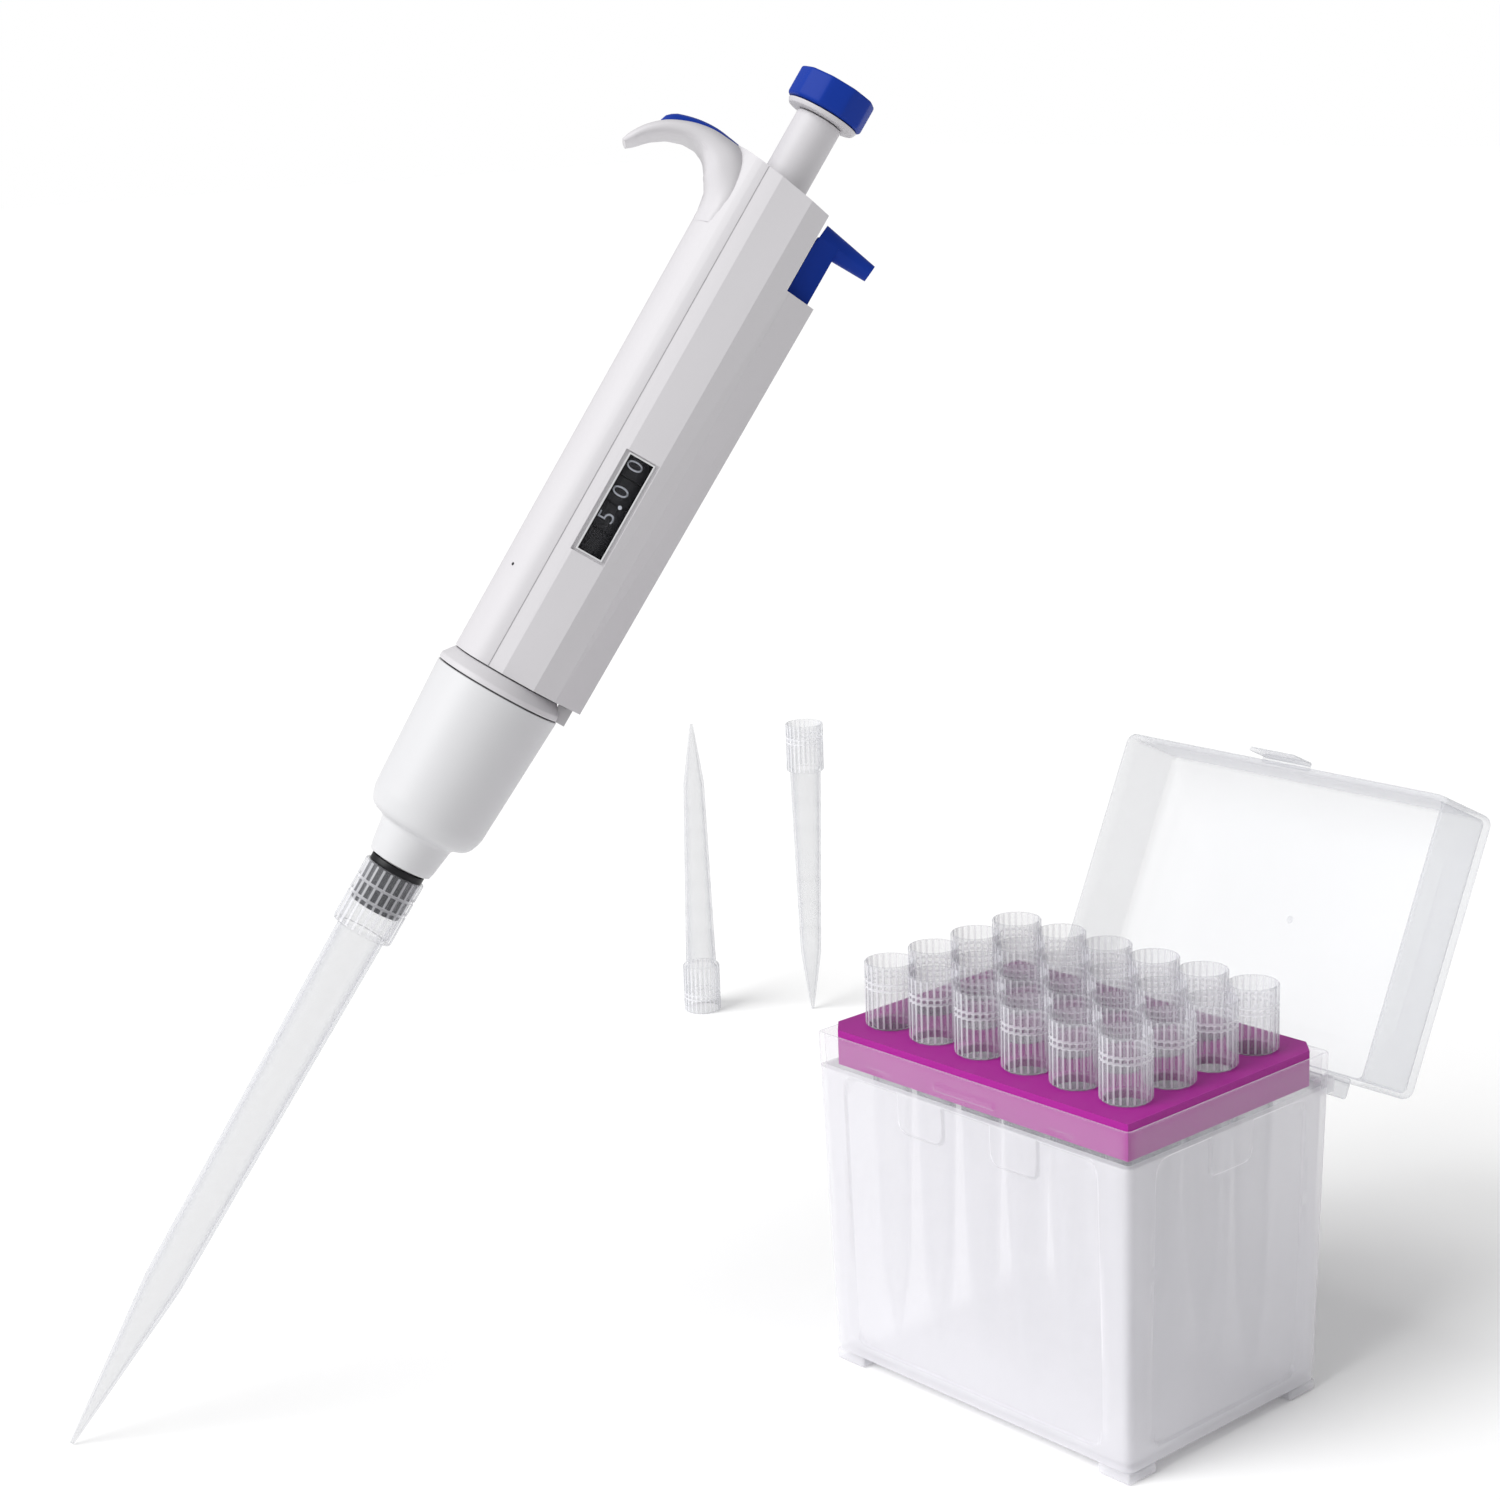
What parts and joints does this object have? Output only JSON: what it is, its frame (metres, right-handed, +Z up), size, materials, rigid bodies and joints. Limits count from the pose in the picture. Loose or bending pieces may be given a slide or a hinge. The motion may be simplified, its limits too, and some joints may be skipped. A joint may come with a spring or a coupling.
{
  "type": "pipette set",
  "caption": "Hand-held air-displacement pipette with push-button plunger, tip ejector and volume display, with a hinged rack of disposable tips and loose tips.",
  "frame": {"origin": "on the floor, under the middle of the whole set's box", "axes": "+Z up; +X along the rack's long side; +Y towards the rack's hinge"},
  "size_m": [0.3754, 0.3919, 0.357],
  "materials": {
    "clear_tip": "clear polypropylene, slightly milky",
    "frosted_box": "frosted translucent polypropylene",
    "purple_deck": "satin moulded plastic",
    "white_housing": "satin moulded plastic",
    "white_sleeve": "satin moulded plastic",
    "blue_control": "satin moulded plastic",
    "clear_lens": "polished clear plastic",
    "dark_drum": "printed plastic drum",
    "black_seal": "smooth black elastomer",
    "seal_rubber": "greased elastomer",
    "steel": "bright drawn steel",
    "grey_inner": "moulded engineering plastic"
  },
  "bodies": {
    "rack": {"rack_base": "frosted_box", "hinge_pin_left": "frosted_box", "hinge_pin_right": "frosted_box"},
    "deck": {"deck": "purple_deck"},
    "lid": {"lid": "frosted_box"},
    "tip_A1": {"rack_tip_A1": "clear_tip"},
    "tip_A2": {"rack_tip_A2": "clear_tip"},
    "tip_A3": {"rack_tip_A3": "clear_tip"},
    "tip_A4": {"rack_tip_A4": "clear_tip"},
    "tip_A5": {"rack_tip_A5": "clear_tip"},
    "tip_A6": {"rack_tip_A6": "clear_tip"},
    "tip_B1": {"rack_tip_B1": "clear_tip"},
    "tip_B2": {"rack_tip_B2": "clear_tip"},
    "tip_B3": {"rack_tip_B3": "clear_tip"},
    "tip_B4": {"rack_tip_B4": "clear_tip"},
    "tip_B5": {"rack_tip_B5": "clear_tip"},
    "tip_B6": {"rack_tip_B6": "clear_tip"},
    "tip_C1": {"rack_tip_C1": "clear_tip"},
    "tip_C2": {"rack_tip_C2": "clear_tip"},
    "tip_C3": {"rack_tip_C3": "clear_tip"},
    "tip_C4": {"rack_tip_C4": "clear_tip"},
    "tip_C5": {"rack_tip_C5": "clear_tip"},
    "tip_C6": {"rack_tip_C6": "clear_tip"},
    "tip_D1": {"rack_tip_D1": "clear_tip"},
    "tip_D2": {"rack_tip_D2": "clear_tip"},
    "tip_D3": {"rack_tip_D3": "clear_tip"},
    "tip_D4": {"rack_tip_D4": "clear_tip"},
    "tip_D5": {"rack_tip_D5": "clear_tip"},
    "tip_D6": {"rack_tip_D6": "clear_tip"},
    "loose_tip_left": {"loose_tip_left": "clear_tip"},
    "loose_tip_right": {"loose_tip_right": "clear_tip"},
    "handle": {"front_shell": "white_housing", "rear_shell": "white_housing", "hook_pad": "blue_control", "window_lens": "clear_lens", "counter_drum": "dark_drum", "volume_nut": "grey_inner", "stem_bushing": "grey_inner", "spring_seat": "grey_inner", "blowout_spring": "steel", "cylinder": "grey_inner", "nozzle": "white_housing", "nozzle_seal": "black_seal", "collar_ring": "white_housing"},
    "plunger": {"piston_rod": "steel", "piston": "grey_inner", "piston_seal": "seal_rubber", "piston_spring": "steel"},
    "button": {"push_button": "blue_control", "button_skirt": "white_housing", "plunger_stem": "white_housing", "volume_spindle": "steel"},
    "ejector": {"ejector_button": "blue_control", "ejector_arm": "white_housing", "ejector_sleeve": "white_sleeve", "ejector_spring": "steel"},
    "mounted_tip": {"mounted_tip": "clear_tip"},
    "wheel_units": {"digit_wheel_units": "dark_drum"},
    "wheel_tenths": {"digit_wheel_tenths": "dark_drum"},
    "wheel_hundredths": {"digit_wheel_hundredths": "dark_drum"}
  },
  "joints": [
    {"name": "deck_lift", "type": "slide", "parent": "rack", "child": "deck", "axis": [0, 0, 1], "range_m": [0, 0.03]},
    {"name": "tip_A1_lift", "type": "slide", "parent": "deck", "child": "tip_A1", "axis": [0, 0, 1], "range_m": [0, 0.12]},
    {"name": "tip_A2_lift", "type": "slide", "parent": "deck", "child": "tip_A2", "axis": [0, 0, 1], "range_m": [0, 0.12]},
    {"name": "tip_A3_lift", "type": "slide", "parent": "deck", "child": "tip_A3", "axis": [0, 0, 1], "range_m": [0, 0.12]},
    {"name": "tip_A4_lift", "type": "slide", "parent": "deck", "child": "tip_A4", "axis": [0, 0, 1], "range_m": [0, 0.12]},
    {"name": "tip_A5_lift", "type": "slide", "parent": "deck", "child": "tip_A5", "axis": [0, 0, 1], "range_m": [0, 0.12]},
    {"name": "tip_A6_lift", "type": "slide", "parent": "deck", "child": "tip_A6", "axis": [0, 0, 1], "range_m": [0, 0.12]},
    {"name": "tip_B1_lift", "type": "slide", "parent": "deck", "child": "tip_B1", "axis": [0, 0, 1], "range_m": [0, 0.12]},
    {"name": "tip_B2_lift", "type": "slide", "parent": "deck", "child": "tip_B2", "axis": [0, 0, 1], "range_m": [0, 0.12]},
    {"name": "tip_B3_lift", "type": "slide", "parent": "deck", "child": "tip_B3", "axis": [0, 0, 1], "range_m": [0, 0.12]},
    {"name": "tip_B4_lift", "type": "slide", "parent": "deck", "child": "tip_B4", "axis": [0, 0, 1], "range_m": [0, 0.12]},
    {"name": "tip_B5_lift", "type": "slide", "parent": "deck", "child": "tip_B5", "axis": [0, 0, 1], "range_m": [0, 0.12]},
    {"name": "tip_B6_lift", "type": "slide", "parent": "deck", "child": "tip_B6", "axis": [0, 0, 1], "range_m": [0, 0.12]},
    {"name": "tip_C1_lift", "type": "slide", "parent": "deck", "child": "tip_C1", "axis": [0, 0, 1], "range_m": [0, 0.12]},
    {"name": "tip_C2_lift", "type": "slide", "parent": "deck", "child": "tip_C2", "axis": [0, 0, 1], "range_m": [0, 0.12]},
    {"name": "tip_C3_lift", "type": "slide", "parent": "deck", "child": "tip_C3", "axis": [0, 0, 1], "range_m": [0, 0.12]},
    {"name": "tip_C4_lift", "type": "slide", "parent": "deck", "child": "tip_C4", "axis": [0, 0, 1], "range_m": [0, 0.12]},
    {"name": "tip_C5_lift", "type": "slide", "parent": "deck", "child": "tip_C5", "axis": [0, 0, 1], "range_m": [0, 0.12]},
    {"name": "tip_C6_lift", "type": "slide", "parent": "deck", "child": "tip_C6", "axis": [0, 0, 1], "range_m": [0, 0.12]},
    {"name": "tip_D1_lift", "type": "slide", "parent": "deck", "child": "tip_D1", "axis": [0, 0, 1], "range_m": [0, 0.12]},
    {"name": "tip_D2_lift", "type": "slide", "parent": "deck", "child": "tip_D2", "axis": [0, 0, 1], "range_m": [0, 0.12]},
    {"name": "tip_D3_lift", "type": "slide", "parent": "deck", "child": "tip_D3", "axis": [0, 0, 1], "range_m": [0, 0.12]},
    {"name": "tip_D4_lift", "type": "slide", "parent": "deck", "child": "tip_D4", "axis": [0, 0, 1], "range_m": [0, 0.12]},
    {"name": "tip_D5_lift", "type": "slide", "parent": "deck", "child": "tip_D5", "axis": [0, 0, 1], "range_m": [0, 0.12]},
    {"name": "tip_D6_lift", "type": "slide", "parent": "deck", "child": "tip_D6", "axis": [0, 0, 1], "range_m": [0, 0.12]},
    {"name": "lid_hinge", "type": "hinge", "parent": "rack", "child": "lid", "pos_m": [0.1309, 0.0686, 0.0867], "axis": [-1, 0, 0], "range_deg": [-116, 0]},
    {"name": "loose_left_lift", "type": "slide", "parent": "rack", "child": "loose_tip_left", "axis": [0, 0, 1], "range_m": [0, 0.1]},
    {"name": "loose_right_lift", "type": "slide", "parent": "rack", "child": "loose_tip_right", "axis": [0, 0, 1], "range_m": [0, 0.1]},
    {"name": "pipette_lift", "type": "slide", "parent": "rack", "child": "handle", "axis": [0, 0, 1], "range_m": [0, 0.06]},
    {"name": "plunger_press", "type": "slide", "parent": "handle", "child": "plunger", "axis": [-0.2287, -0.5002, -0.8351], "range_m": [0, 0.016], "stiffness_N_per_m": 300, "springref_m": -0.01, "deforming": ["piston_spring", "blowout_spring"]},
    {"name": "volume_turn", "type": "hinge", "parent": "plunger", "child": "button", "pos_m": [-0.03475, -0.19546, 0.00035], "axis": [0.2287, 0.5002, 0.8351], "range_deg": [0, 2880]},
    {"name": "hundredths_wheel_turn", "type": "hinge", "parent": "handle", "child": "wheel_hundredths", "pos_m": [-0.03475, -0.19546, 0.00035], "axis": [0.2287, 0.5002, 0.8351], "range_deg": [0, 2880]},
    {"name": "tenths_wheel_turn", "type": "hinge", "parent": "handle", "child": "wheel_tenths", "pos_m": [-0.03475, -0.19546, 0.00035], "axis": [0.2287, 0.5002, 0.8351], "range_deg": [0, 1440]},
    {"name": "units_wheel_turn", "type": "hinge", "parent": "handle", "child": "wheel_units", "pos_m": [-0.03475, -0.19546, 0.00035], "axis": [0.2287, 0.5002, 0.8351], "range_deg": [0, 144]},
    {"name": "ejector_press", "type": "slide", "parent": "handle", "child": "ejector", "axis": [-0.2287, -0.5002, -0.8351], "range_m": [0, 0.008], "stiffness_N_per_m": 250, "springref_m": -0.012, "deforming": ["ejector_spring"]},
    {"name": "tip_eject", "type": "slide", "parent": "handle", "child": "mounted_tip", "axis": [-0.2287, -0.5002, -0.8351], "range_m": [0, 0.008]}
  ],
  "couplings": [
    {"joint": "hundredths_wheel_turn", "follows": "volume_turn", "ratio": 1},
    {"joint": "tenths_wheel_turn", "follows": "volume_turn", "ratio": 0.5},
    {"joint": "units_wheel_turn", "follows": "volume_turn", "ratio": 0.05},
    {"joint": "tip_eject", "follows": "ejector_press", "ratio": 1}
  ]
}
